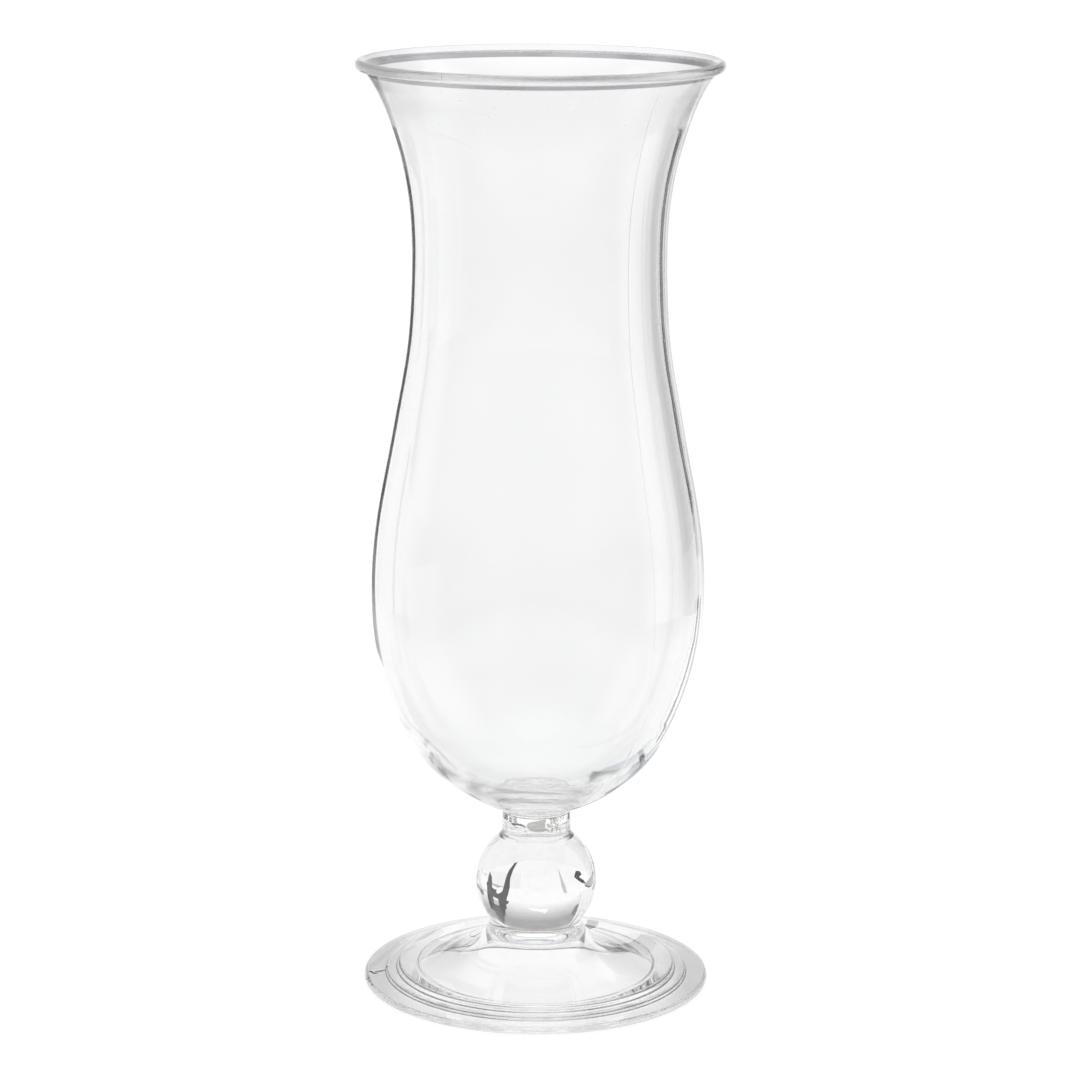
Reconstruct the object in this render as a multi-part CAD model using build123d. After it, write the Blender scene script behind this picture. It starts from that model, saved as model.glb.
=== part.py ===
from build123d import *
import os
from math import cos, radians, sin

# Hurricane tumbler on a ball stem, clear moulded plastic. Millimetres, +Z up.
# The origin is the centre of the plane it stands on.

# ---- driving dimensions -------------------------------------------------
TOTAL_H = 206.4        # standing height, base plane to top of rim bead
RIM_R = 39.7           # outside of the rim bead
BEAD_R = 1.15          # section radius of the rim bead
FOOT_R = 38.7          # outside of the foot

NECK_R = 7.65          # plain neck under the bowl
NECK_TOP_Z = 39.30     # shoulder of the bowl, where the neck joint closes
BALL_R = 13.45         # ball knop
BALL_Z = 22.75         # its centre height
COVE_R = 0.70          # hollow fillet between shoulder and bowl
COLLAR_R = 10.30       # where the ball meets the collar of the foot
COLLAR_Z = 14.10

FILM = 0.20            # bond line thickness in both sockets
NECK_PIN_R = 5.00      # pin under the bowl
NECK_PIN_L = 4.60
FOOT_PIN_R = 6.60      # pin that stands on the foot, inside the ball
FOOT_PIN_TOP_Z = 29.00

FLANGE_T = 1.70        # rim of the foot
STEP1_R = 31.15        # edge of the raised disc of the foot
STEP2_R = 33.75        # edge of the ledge around it
RELIEF_R = 26.20       # hollow under the foot
RELIEF_Z = 1.10

# Outside of the bowl from shoulder to rim: radius, height, wall thickness there.
BOWL = [
    (9.20, 40.42, 4.00),
    (10.50, 40.98, 3.70),
    (13.50, 42.48, 3.10),
    (17.00, 44.55, 2.50),
    (21.00, 47.60, 2.05),
    (25.00, 51.45, 1.75),
    (28.25, 56.00, 1.55),
    (31.40, 62.00, 1.40),
    (34.22, 70.00, 1.30),
    (36.22, 80.00, 1.22),
    (36.76, 90.00, 1.20),
    (36.28, 100.00, 1.20),
    (34.88, 110.00, 1.20),
    (32.95, 120.00, 1.20),
    (30.76, 132.00, 1.22),
    (28.72, 144.00, 1.25),
    (27.83, 156.00, 1.26),
    (27.67, 166.00, 1.26),
    (28.27, 176.00, 1.26),
    (29.68, 184.00, 1.28),
    (31.62, 191.00, 1.32),
    (33.38, 196.00, 1.38),
    (35.28, 200.00, 1.46),
    (36.95, 202.70, 1.55),
]
INNER_FLOOR_Z = 43.05  # lowest point inside the bowl
BEAD_OUT_DEG = -113.0  # where the outside wall runs under the bead
BEAD_IN_DEG = 150.0    # where the bead runs down the inside wall


def offset_inward(table):
    """Inside wall: every station moved along the wall's own normal by its thickness."""
    out = []
    for i, (r, z, t) in enumerate(table):
        r0, z0, _ = table[max(i - 1, 0)]
        r1, z1, _ = table[min(i + 1, len(table) - 1)]
        dr, dz = r1 - r0, z1 - z0
        n = (dr * dr + dz * dz) ** 0.5
        out.append((r - t * dz / n, z + t * dr / n))
    return out


def turned(face):
    """Solid of revolution about Z from a face drawn in the XZ plane."""
    return revolve(face, Axis.Z)


def xz(points):
    return [(r, 0, z) for r, z in points]


# ---- bowl: vessel, rim bead, shoulder and pin --------------------------
bead_r0, bead_z0 = RIM_R - BEAD_R, TOTAL_H - BEAD_R


def on_bead(deg):
    return (bead_r0 + BEAD_R * cos(radians(deg)), bead_z0 + BEAD_R * sin(radians(deg)))


outer = [(r, z) for r, z, _ in BOWL]
inner = offset_inward(BOWL)[3:-1]
shoulder = (NECK_R, NECK_TOP_Z)
pin_z = NECK_TOP_Z - NECK_PIN_L
cove_end = (NECK_R + 0.593 * COVE_R, NECK_TOP_Z + 0.9135 * COVE_R)
cove = ThreePointArc(*xz([shoulder, (NECK_R + 0.1613 * COVE_R, NECK_TOP_Z + 0.5446 * COVE_R), cove_end]))
wall_out = Spline(*xz([cove_end] + outer + [on_bead(BEAD_OUT_DEG)]))
bead_over = ThreePointArc(*xz([on_bead(BEAD_OUT_DEG), on_bead(18.5), on_bead(BEAD_IN_DEG)]))
floor = [(11.0, INNER_FLOOR_Z + 1.55), (7.0, INNER_FLOOR_Z + 0.57), (3.5, INNER_FLOOR_Z + 0.15),
         (0.0, INNER_FLOOR_Z)]
wall_in = Spline(*xz([on_bead(BEAD_IN_DEG)] + inner[::-1] + floor))
pin = Polyline(*xz([(0.0, INNER_FLOOR_Z), (0.0, pin_z), (NECK_PIN_R - 0.5, pin_z),
                    (NECK_PIN_R, pin_z + 0.5), (NECK_PIN_R, NECK_TOP_Z), shoulder]))
bowl = turned(make_face([cove, wall_out, bead_over, wall_in, pin]))
bowl.label = "bowl"

# ---- stem: neck with its socket, ball knop with a socket from below ----
socket_z = pin_z - FILM
neck = Pos(0, 0, BALL_Z) * Cylinder(NECK_R, NECK_TOP_Z - FILM - BALL_Z,
                                    align=(Align.CENTER, Align.CENTER, Align.MIN))
ball = Pos(0, 0, BALL_Z) * Sphere(BALL_R)
stem = ball + neck
stem -= Pos(0, 0, COLLAR_Z) * Cylinder(BALL_R * 2, BALL_R * 2,
                                       align=(Align.CENTER, Align.CENTER, Align.MAX))
pin2_z = FOOT_PIN_TOP_Z
crown_z = pin2_z + FILM
ball_socket = make_face(Polyline(*xz([(0, COLLAR_Z - 1.0), (0, crown_z), (FOOT_PIN_R + FILM - 0.6, crown_z),
                                      (FOOT_PIN_R + FILM, crown_z - 0.6),
                                      (FOOT_PIN_R + FILM, COLLAR_Z - 1.0)]), close=True))
stem -= turned(ball_socket)
socket = make_face(Polyline(*xz([(0, NECK_TOP_Z), (0, socket_z),
                                 (NECK_PIN_R + FILM - 0.5, socket_z),
                                 (NECK_PIN_R + FILM, socket_z + 0.5),
                                 (NECK_PIN_R + FILM, NECK_TOP_Z)]), close=True))
stem -= turned(socket)
stem.label = "ball_stem"

# ---- bond lines: cured adhesive filling each socket --------------------
top_f = NECK_TOP_Z - FILM
neck_bond = turned(make_face(Polyline(*xz([
    (0, pin_z), (NECK_PIN_R - 0.5, pin_z), (NECK_PIN_R, pin_z + 0.5), (NECK_PIN_R, NECK_TOP_Z),
    (NECK_R, NECK_TOP_Z), (NECK_R, top_f), (NECK_PIN_R + FILM, top_f),
    (NECK_PIN_R + FILM, socket_z + 0.5), (NECK_PIN_R + FILM - 0.5, socket_z), (0, socket_z),
]), close=True)))
neck_bond.label = "neck_bond"

collar_top = COLLAR_Z - FILM
foot_bond = turned(make_face(Polyline(*xz([
    (0, pin2_z), (FOOT_PIN_R - 0.6, pin2_z), (FOOT_PIN_R, pin2_z - 0.6), (FOOT_PIN_R, collar_top),
    (COLLAR_R, collar_top), (COLLAR_R, COLLAR_Z), (FOOT_PIN_R + FILM, COLLAR_Z),
    (FOOT_PIN_R + FILM, crown_z - 0.6), (FOOT_PIN_R + FILM - 0.6, crown_z), (0, crown_z),
]), close=True)))
foot_bond.label = "foot_bond"

# ---- foot: pin, collar, raised disc, ledge and flange, hollow underneath
flare = Spline(*xz([(COLLAR_R, collar_top), (10.48, 13.0), (11.05, 11.6), (12.15, 10.05),
                    (13.70, 8.60), (16.20, 7.10), (19.60, 5.85), (24.00, 4.75),
                    (28.00, 4.05), (STEP1_R - 0.75, 3.68)]),
               tangents=[(0.10, 0, -0.99), (0.985, 0, -0.17)])
e1 = STEP1_R
e2 = STEP2_R
edge = Polyline(*xz([
    (e1 - 0.75, 3.68), (e1 - 0.32, 3.52), (e1 - 0.02, 3.12), (e1 + 0.12, 2.66), (e1 + 0.42, 2.44),
    (e2 - 0.50, 2.36), (e2 - 0.16, 2.24), (e2 + 0.02, 1.98), (e2 + 0.12, 1.70), (e2 + 0.36, 1.56),
]))
rim_flat = Line((e2 + 0.36, 0, 1.56), (FOOT_R - 0.85, 0, FLANGE_T))
rim_round = Spline(*xz([(FOOT_R - 0.85, FLANGE_T), (FOOT_R - 0.22, 1.42), (FOOT_R, 0.85),
                        (FOOT_R - 0.22, 0.28), (FOOT_R - 0.80, 0.0)]),
                   tangents=[(1, 0, 0.03), (-1, 0, 0)])
under = Polyline(*xz([(FOOT_R - 0.80, 0.0), (RELIEF_R + 0.35, 0.0), (RELIEF_R, 0.35),
                      (RELIEF_R - 0.25, RELIEF_Z)]))
HOLLOW_TOP_Z = 11.45  # the hollow follows the flare, at about 2.6 mm of wall
dome = Spline(*xz([(RELIEF_R - 0.25, RELIEF_Z), (22.50, 2.10), (18.85, 3.20), (15.05, 4.70), (12.17, 6.50),
                   (10.20, 8.20), (8.40, 9.70), (5.50, 10.90), (2.80, 11.35), (0.0, HOLLOW_TOP_Z)]),
              tangents=[(-0.96, 0, 0.28), (-1, 0, 0)])
spigot = Polyline(*xz([(0.0, HOLLOW_TOP_Z), (0.0, pin2_z), (FOOT_PIN_R - 0.6, pin2_z),
                       (FOOT_PIN_R, pin2_z - 0.6), (FOOT_PIN_R, collar_top), (COLLAR_R, collar_top)]))
foot = turned(make_face([flare, edge, rim_flat, rim_round, under, dome, spigot]))
foot.label = "foot"

# ---- hand over one file for each piece ----------------------------------
os.makedirs("parts", exist_ok=True)
PIECES = {
    "bowl": bowl,
    "neck_bond": neck_bond,
    "ball_stem": stem,
    "foot_bond": foot_bond,
    "foot": foot,
}
for name, shape in PIECES.items():
    export_step(shape, f"parts/{name}.step")
    box = shape.bounding_box()
    print(name, "solids", len(shape.solids()), "cm3 %.2f" % (shape.volume / 1000),
          "z %.2f..%.2f" % (box.min.Z, box.max.Z), "r %.2f" % box.max.X, "valid", shape.is_valid)
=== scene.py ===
import math

import bpy
import numpy as np
from mathutils import Matrix, Vector
from mathutils.geometry import delaunay_2d_cdt


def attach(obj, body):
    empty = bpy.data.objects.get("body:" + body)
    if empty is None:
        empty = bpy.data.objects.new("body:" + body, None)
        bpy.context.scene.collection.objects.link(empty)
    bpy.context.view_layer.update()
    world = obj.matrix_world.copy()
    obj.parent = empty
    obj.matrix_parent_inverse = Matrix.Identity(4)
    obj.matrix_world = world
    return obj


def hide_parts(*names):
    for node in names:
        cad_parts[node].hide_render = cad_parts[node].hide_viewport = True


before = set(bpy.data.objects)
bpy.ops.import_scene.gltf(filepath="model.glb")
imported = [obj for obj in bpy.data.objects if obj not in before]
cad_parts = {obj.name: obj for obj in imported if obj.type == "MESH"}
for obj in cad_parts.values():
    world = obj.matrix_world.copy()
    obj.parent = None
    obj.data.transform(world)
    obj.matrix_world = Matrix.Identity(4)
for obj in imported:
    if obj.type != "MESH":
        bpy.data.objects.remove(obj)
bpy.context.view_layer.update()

MM = 0.001
SEAM_DEG = (-47.0, 133.0)  # parting line of the mould, front right and back left
rng = np.random.default_rng(7)


# ---------------------------------------------------------------- profiles, in mm
def nat_spline(pts, n):
    """Natural cubic spline through pts by chord length, n samples."""
    p = np.array(pts, float)
    t = np.concatenate([[0.0], np.cumsum(np.hypot(*np.diff(p, axis=0).T))])
    m, h = len(t), np.diff(t)
    a, rhs = np.zeros((m, m)), np.zeros((m, 2))
    a[0, 0] = a[-1, -1] = 1.0
    for i in range(1, m - 1):
        a[i, i - 1], a[i, i], a[i, i + 1] = h[i - 1], 2 * (h[i - 1] + h[i]), h[i]
        rhs[i] = 6 * ((p[i + 1] - p[i]) / h[i] - (p[i] - p[i - 1]) / h[i - 1])
    k2 = np.linalg.solve(a, rhs)
    u = np.linspace(0.0, t[-1], n)
    k = np.clip(np.searchsorted(t, u, side="right") - 1, 0, m - 2)
    x, y, hh = (t[k + 1] - u)[:, None], (u - t[k])[:, None], h[k][:, None]
    return ((k2[k] * x**3 + k2[k + 1] * y**3) / (6 * hh)
            + (p[k] / hh - k2[k] * hh / 6) * x + (p[k + 1] / hh - k2[k + 1] * hh / 6) * y)


def line(a, b, n):
    return np.array([np.array(a) + (np.array(b) - np.array(a)) * s for s in np.linspace(0, 1, n)])


def arc(c, r, d0, d1, n):
    g = np.radians(np.linspace(d0, d1, n))
    return np.stack([c[0] + r * np.cos(g), c[1] + r * np.sin(g)], 1)


class Profile:
    """Half section drawn from the axis round to the axis; each run carries a zone name."""

    def __init__(self):
        self.pts, self.zone = [], []

    def add(self, pts, zone):
        for p in np.array(pts, float):
            if self.pts and np.hypot(*(p - self.pts[-1])) < 1e-4:
                self.zone[-1] = zone
                continue
            self.pts.append(p)
            self.zone.append(zone)
        return self


# ---------------------------------------------------------------- meshes
def columns(n, fine=()):
    """Angles round the axis: n even ones, closer together near each fine (degrees, half width, step)."""
    base = np.arange(n) * 360.0 / n
    extra = []
    for at, half, step in fine:
        k = int(round(half / step))
        extra += [(at + i * step) % 360.0 for i in range(-k, k + 1)]
        base = np.array([b for b in base if min(abs((b - at) % 360), abs((at - b) % 360)) > half + 0.3 * step])
    return np.radians(np.sort(np.concatenate([base, np.array(extra)])))


def lathe(name, prof, ang, zones, move=None, sharp=32.0):
    """Turns prof about Z. zones maps a zone name to a material index; move(theta, r, z, i) gives a normal offset in mm."""
    pts = np.array(prof.pts)
    tan = np.gradient(pts, axis=0)
    tan /= np.linalg.norm(tan, axis=1)[:, None] + 1e-12
    nrm = np.stack([tan[:, 1], -tan[:, 0]], 1)
    na = len(ang)
    verts, ring = [], []
    for i, (r, z) in enumerate(pts):
        if r < 1e-6:
            d = float(np.mean(move(ang, np.full(na, r), np.full(na, z), i))) if move else 0.0
            ring.append([len(verts)])
            verts.append((0.0, 0.0, (z + d * nrm[i, 1]) * MM))
            continue
        d = move(ang, np.full(na, r), np.full(na, z), i) if move else np.zeros(na)
        rr, zz = r + d * nrm[i, 0], z + d * nrm[i, 1]
        ring.append(list(range(len(verts), len(verts) + na)))
        verts += list(zip(rr * np.cos(ang) * MM, rr * np.sin(ang) * MM, zz * MM))
    faces, mats = [], []
    for i in range(len(pts) - 1):
        a, b, mi = ring[i], ring[i + 1], zones[prof.zone[i]]
        for j in range(na):
            k = (j + 1) % na
            if len(a) == 1 and len(b) == 1:
                continue
            if len(a) == 1:
                faces.append((a[0], b[k], b[j]))
            elif len(b) == 1:
                faces.append((a[j], a[k], b[0]))
            else:
                faces.append((a[j], a[k], b[k], b[j]))
            mats.append(mi)
    return mesh_object(name, verts, faces, mats, sharp)


def mesh_object(name, verts, faces, mats, sharp=32.0):
    me = bpy.data.meshes.new(name)
    me.from_pydata(verts, [], faces)
    me.polygons.foreach_set("material_index", mats)
    me.polygons.foreach_set("use_smooth", [True] * len(faces))
    me.update()
    me.set_sharp_from_angle(angle=math.radians(sharp))
    ob = bpy.data.objects.new(name, me)
    bpy.context.scene.collection.objects.link(ob)
    return ob


def void_lens(store, centre, ex, ey, ez, mat, nu=14, nv=8):
    """Closed lens-shaped void with half axes ex, ey, ez (vectors, mm); its faces look into the void."""
    verts, faces, mats = store
    c, ex, ey, ez = (np.array(v, float) for v in (centre, ex, ey, ez))
    base = len(verts)
    verts.append(tuple((c - ez) * MM))
    for i in range(1, nv):
        t = -math.pi / 2 + math.pi * i / nv
        for j in range(nu):
            p = 2 * math.pi * j / nu
            q = c + math.cos(t) * (math.cos(p) * ex + math.sin(p) * ey) + math.sin(t) * ez
            verts.append(tuple(q * MM))
    verts.append(tuple((c + ez) * MM))
    top = len(verts) - 1
    rows = lambda i, j: base + 1 + (i - 1) * nu + j % nu
    new = [(base, rows(1, j), rows(1, j + 1)) for j in range(nu)]
    for i in range(1, nv - 1):
        new += [(rows(i, j), rows(i + 1, j), rows(i + 1, j + 1), rows(i, j + 1)) for j in range(nu)]
    new += [(rows(nv - 1, j + 1), rows(nv - 1, j), top) for j in range(nu)]
    if np.dot(np.cross(ex, ey), ez) < 0:
        new = [f[::-1] for f in new]
    faces += new
    mats += [mat] * len(new)


def void_patch(store, outline, rc, h0, w, mat, step=0.22):
    """Closed void that follows a cylinder of radius rc (mm); outline in degrees and mm, rounded off over w at its edge."""
    verts, faces, mats = store
    k = math.radians(1.0) * rc
    poly = np.array([(a * k, z) for a, z in outline], float)
    edge = []
    for a, b in zip(poly, np.roll(poly, -1, axis=0)):
        m = max(1, int(round(np.hypot(*(b - a)) / step)))
        edge += [a + (b - a) * j / m for j in range(m)]
    edge = np.array(edge)
    nxt = np.roll(edge, -1, axis=0)

    def away(q):
        d = nxt - edge
        f = np.clip(((q - edge) * d).sum(1) / (d * d).sum(1), 0.0, 1.0)
        return float(np.min(np.hypot(*(edge + d * f[:, None] - q).T)))

    def inside(q):
        hit = (edge[:, 1] > q[1]) != (nxt[:, 1] > q[1])
        dz = np.where(nxt[:, 1] == edge[:, 1], 1e-9, nxt[:, 1] - edge[:, 1])
        return int(np.sum(hit & (q[0] < edge[:, 0] + (nxt[:, 0] - edge[:, 0]) * (q[1] - edge[:, 1]) / dz))) % 2 == 1

    lo, hi = poly.min(0), poly.max(0)
    grid = [np.array((x, z)) for x in np.arange(lo[0], hi[0], step) for z in np.arange(lo[1], hi[1], step)]
    grid = [q for q in grid if inside(q) and away(q) > 0.45 * step]
    pts = [Vector(map(float, q)) for q in list(edge) + grid]
    co, _, tri, _, _, _ = delaunay_2d_cdt(pts, [], [list(range(len(edge)))], 1, 1e-7)
    up, dn = [], []
    for q in co:
        d = away(np.array(q))
        h = 0.0 if d < 1e-5 else h0 * math.sqrt(1.0 - (1.0 - min(d / w, 1.0)) ** 2)
        g = q[0] / rc
        up.append(len(verts))
        verts.append(((rc + h) * math.cos(g) * MM, (rc + h) * math.sin(g) * MM, q[1] * MM))
        if h == 0.0:
            dn.append(up[-1])
        else:
            dn.append(len(verts))
            verts.append(((rc - h) * math.cos(g) * MM, (rc - h) * math.sin(g) * MM, q[1] * MM))
    for f in tri:
        if all(up[i] == dn[i] for i in f):
            continue
        a, b, c = (co[i] for i in f)
        if (b - a).cross(c - a) < 0:
            f = f[::-1]
        for ring in ([up[i] for i in f[::-1]], [dn[i] for i in f]):
            if len(set(ring)) == len(ring):
                faces.append(tuple(ring))
                mats.append(mat)


# ---------------------------------------------------------------- materials
def tree(name):
    m = bpy.data.materials.new(name)
    m.use_nodes = True
    t = m.node_tree
    t.nodes.clear()
    return m, t


def node(t, kind, **kw):
    n = t.nodes.new(kind)
    for k, v in kw.items():
        setattr(n, k, v)
    return n


def ramp(t, src, stops, interp="LINEAR"):
    r = node(t, "ShaderNodeValToRGB")
    r.color_ramp.interpolation = interp
    while len(r.color_ramp.elements) < len(stops):
        r.color_ramp.elements.new(0.5)
    for e, (pos, col) in zip(r.color_ramp.elements, stops):
        e.position = pos
        e.color = (*col, 1.0) if isinstance(col, (tuple, list)) else (col, col, col, 1.0)
    t.links.new(src, r.inputs[0])
    return r.outputs[0]


def maprange(t, src, a, b, c, d, smooth=False):
    n = node(t, "ShaderNodeMapRange", interpolation_type="SMOOTHSTEP" if smooth else "LINEAR")
    t.links.new(src, n.inputs[0])
    for i, v in enumerate((a, b, c, d)):
        n.inputs[1 + i].default_value = v
    return n.outputs[0]


def maths(t, op, a, b=None):
    n = node(t, "ShaderNodeMath", operation=op)
    for i, v in enumerate((a, b)):
        if v is None:
            continue
        if isinstance(v, (int, float)):
            n.inputs[i].default_value = v
        else:
            t.links.new(v, n.inputs[i])
    return n.outputs[0]


def clear_plastic(name, tint_lo, tint_hi, rim_tint=None, peel=0.35, rough=0.012, cloud=38.0, shade_blend=None, dull=None):
    """Polished clear moulding: faint cloudy tint, polish that varies, moulded-in ripple, hairlines and specks."""
    m, t = tree(name)
    out = node(t, "ShaderNodeOutputMaterial")
    bs = node(t, "ShaderNodeBsdfPrincipled")
    t.links.new(bs.outputs[0], out.inputs[0])
    bs.inputs["IOR"].default_value = 1.57
    bs.inputs["Transmission Weight"].default_value = 1.0
    pos = node(t, "ShaderNodeTexCoord").outputs["Object"]
    # cloudy tint
    cl = node(t, "ShaderNodeTexNoise")
    cl.inputs["Scale"].default_value, cl.inputs["Detail"].default_value = cloud, 2.0
    t.links.new(pos, cl.inputs["Vector"])
    col = ramp(t, cl.outputs["Fac"], ((0.30, tint_lo), (0.70, tint_hi)))
    if rim_tint:
        sep = node(t, "ShaderNodeSeparateXYZ")
        t.links.new(pos, sep.inputs[0])
        near = maprange(t, sep.outputs[2], 0.2032, 0.2046, 0.0, 1.0, True)
        mx = node(t, "ShaderNodeMix", data_type="RGBA")
        t.links.new(near, mx.inputs["Factor"])
        t.links.new(col, mx.inputs["A"])
        mx.inputs["B"].default_value = (*rim_tint, 1.0)
        low = maprange(t, sep.outputs[2], 0.046, 0.058, 1.0, 0.0, True)
        my = node(t, "ShaderNodeMix", data_type="RGBA")
        t.links.new(low, my.inputs["Factor"])
        t.links.new(mx.outputs["Result"], my.inputs["A"])
        my.inputs["B"].default_value = (0.922, 0.926, 0.930, 1.0)
        col = my.outputs["Result"]
    # painted shade: a darker colour blended in along one axis of the part, from the middle outwards when both sides are
    # taken
    if shade_blend:
        axis, both, a, b, top, shade_colour = shade_blend
        se = node(t, "ShaderNodeSeparateXYZ")
        t.links.new(pos, se.inputs[0])
        along = maths(t, "ABSOLUTE", se.outputs[axis]) if both else se.outputs[axis]
        mz = node(t, "ShaderNodeMix", data_type="RGBA")
        t.links.new(maprange(t, along, a, b, 0.0, top, True), mz.inputs["Factor"])
        t.links.new(col, mz.inputs["A"])
        mz.inputs["B"].default_value = (*shade_colour, 1.0)
        col = mz.outputs["Result"]
    t.links.new(col, bs.inputs["Base Color"])
    # polish: slow variation and sparse specks
    sl = node(t, "ShaderNodeTexNoise")
    sl.inputs["Scale"].default_value, sl.inputs["Detail"].default_value = 120.0, 3.0
    t.links.new(pos, sl.inputs["Vector"])
    sp = node(t, "ShaderNodeTexVoronoi")
    sp.inputs["Scale"].default_value = 420.0
    t.links.new(pos, sp.inputs["Vector"])
    speck = maprange(t, sp.outputs["Distance"], 0.05, 0.10, 0.22, 0.0)
    slow = maths(t, "ADD", maprange(t, sl.outputs["Fac"], 0.35, 0.75, 0.0, rough), speck)
    # duller places: along the height, or towards the axis
    sd = node(t, "ShaderNodeSeparateXYZ")
    t.links.new(pos, sd.inputs[0])
    for way, a, b, c, d in dull or ():
        if way == "height":
            place = sd.outputs[2]
        else:
            place = maths(t, "SQRT", maths(t, "ADD", maths(t, "MULTIPLY", sd.outputs[0], sd.outputs[0]), maths(t, "MULTIPLY", sd.outputs[1], sd.outputs[1])))
        slow = maths(t, "ADD", slow, maprange(t, place, a, b, c, d, True))
    t.links.new(slow, bs.inputs["Roughness"])
    # ripple of the moulding and fine hairlines
    rp = node(t, "ShaderNodeTexNoise")
    rp.inputs["Scale"].default_value, rp.inputs["Detail"].default_value = 150.0, 1.0
    t.links.new(pos, rp.inputs["Vector"])
    hm = node(t, "ShaderNodeMapping")
    hm.inputs["Scale"].default_value = (2600.0, 2600.0, 70.0)
    hm.inputs["Rotation"].default_value = (0.5, 0.3, 0.9)
    t.links.new(pos, hm.inputs["Vector"])
    hn = node(t, "ShaderNodeTexNoise")
    hn.inputs["Scale"].default_value, hn.inputs["Detail"].default_value = 1.0, 1.0
    t.links.new(hm.outputs[0], hn.inputs["Vector"])
    hair = maprange(t, hn.outputs["Fac"], 0.74, 0.80, 0.0, 0.06)
    b = node(t, "ShaderNodeBump")
    b.inputs["Strength"].default_value = peel
    b.inputs["Distance"].default_value = 0.00003
    t.links.new(maths(t, "SUBTRACT", rp.outputs["Fac"], hair), b.inputs["Height"])
    t.links.new(b.outputs[0], bs.inputs["Normal"])
    return m


def wetted_face():
    """Face that the bond has wetted: light passes as if there were no surface, with a faint haze here and there."""
    m, t = tree("wetted_face")
    out = node(t, "ShaderNodeOutputMaterial")
    tr = node(t, "ShaderNodeBsdfTransparent")
    pos = node(t, "ShaderNodeTexCoord").outputs["Object"]
    n = node(t, "ShaderNodeTexNoise")
    n.inputs["Scale"].default_value, n.inputs["Detail"].default_value = 900.0, 3.0
    t.links.new(pos, n.inputs["Vector"])
    t.links.new(ramp(t, n.outputs["Fac"], ((0.50, (1.0, 1.0, 1.0)), (0.78, (0.990, 0.990, 0.988)))), tr.inputs[0])
    t.links.new(tr.outputs[0], out.inputs[0])
    return m


def bond_edge(name, lo, hi):
    """Open edge of the cured bond, or the walls of the air left in it; on those air walls the grey to near-black colour
    given is painted shade.
    """
    m, t = tree(name)
    out = node(t, "ShaderNodeOutputMaterial")
    bs = node(t, "ShaderNodeBsdfPrincipled")
    t.links.new(bs.outputs[0], out.inputs[0])
    bs.inputs["IOR"].default_value = 1.57
    bs.inputs["Transmission Weight"].default_value = 1.0
    pos = node(t, "ShaderNodeTexCoord").outputs["Object"]
    n = node(t, "ShaderNodeTexNoise")
    n.inputs["Scale"].default_value, n.inputs["Detail"].default_value = 1400.0, 3.0
    t.links.new(pos, n.inputs["Vector"])
    t.links.new(ramp(t, n.outputs["Fac"], ((0.3, lo), (0.7, hi))), bs.inputs["Base Color"])
    t.links.new(maprange(t, n.outputs["Fac"], 0.3, 0.7, 0.02, 0.12), bs.inputs["Roughness"])
    b = node(t, "ShaderNodeBump")
    b.inputs["Strength"].default_value = 0.5
    b.inputs["Distance"].default_value = 0.00002
    t.links.new(n.outputs["Fac"], b.inputs["Height"])
    t.links.new(b.outputs[0], bs.inputs["Normal"])
    return m


BOWL_MAT = clear_plastic("clear_bowl", (0.950, 0.953, 0.952), (0.966, 0.966, 0.968), rim_tint=(0.945, 0.935, 0.955),
                         dull=(("height", 0.188, 0.199, 0.0, 0.13), ("height", 0.043, 0.050, 0.07, 0.0)))
STEM_MAT = clear_plastic("clear_stem", (0.968, 0.970, 0.968), (0.985, 0.985, 0.985), peel=0.08, rough=0.008)
# the foot is painted darker towards the left and right ends of its flange: painted shade
FOOT_MAT = clear_plastic("clear_foot", (0.968, 0.970, 0.968), (0.985, 0.985, 0.985), peel=0.20, rough=0.010, shade_blend=(0, True, 0.0255, 0.0350, 1.0, (0.78, 0.785, 0.79)))
UNDER_MAT = clear_plastic("under_foot", (0.968, 0.970, 0.968), (0.985, 0.985, 0.985), peel=0.20, rough=0.02)
# sharp moulded corners: the tool left a duller polish there; their dark colour, darker at the left and right than at
# the front and back, is painted shade
RING_SHADE_MAT = clear_plastic("corner_line_painted_shade", (0.30, 0.30, 0.31), (0.85, 0.85, 0.86), peel=0.20, rough=0.05, cloud=75.0, shade_blend=(0, True, 0.003, 0.013, 0.80, (0.09, 0.09, 0.10)))
# edge of the hollow under the foot, painted dark towards the back: painted shade
HOLLOW_SHADE_MAT = clear_plastic("hollow_line_painted_shade", (0.93, 0.93, 0.93), (0.97, 0.97, 0.97), peel=0.20, rough=0.03, shade_blend=(1, False, 0.004, 0.016, 0.9, (0.12, 0.12, 0.13)))
CORNER_MAT = clear_plastic("corner_shade", (0.93, 0.93, 0.93), (0.97, 0.97, 0.97), peel=0.10, rough=0.02, shade_blend=(0, True, 0.0064, 0.0078, 1.0, (0.03, 0.03, 0.035)))
# crease just under the rim bead, painted near black: painted shade
LIP_SHADE_MAT = clear_plastic("lip_line_painted_shade", (0.06, 0.058, 0.065), (0.30, 0.29, 0.31), peel=0.20, rough=0.05, cloud=45.0)
WET_MAT = wetted_face()
EDGE_MAT = bond_edge("bond_edge", (0.20, 0.15, 0.10), (0.46, 0.38, 0.29))
# the walls of the dry patches and air pockets in the neck bond are grey to near black: painted shade
DRY_SHADE_MAT = bond_edge("bond_dry_painted_shade", (0.42, 0.42, 0.41), (0.60, 0.60, 0.58))
AIR_SHADE_MAT = bond_edge("bond_air_painted_shade", (0.05, 0.05, 0.05), (0.34, 0.34, 0.33))


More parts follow.
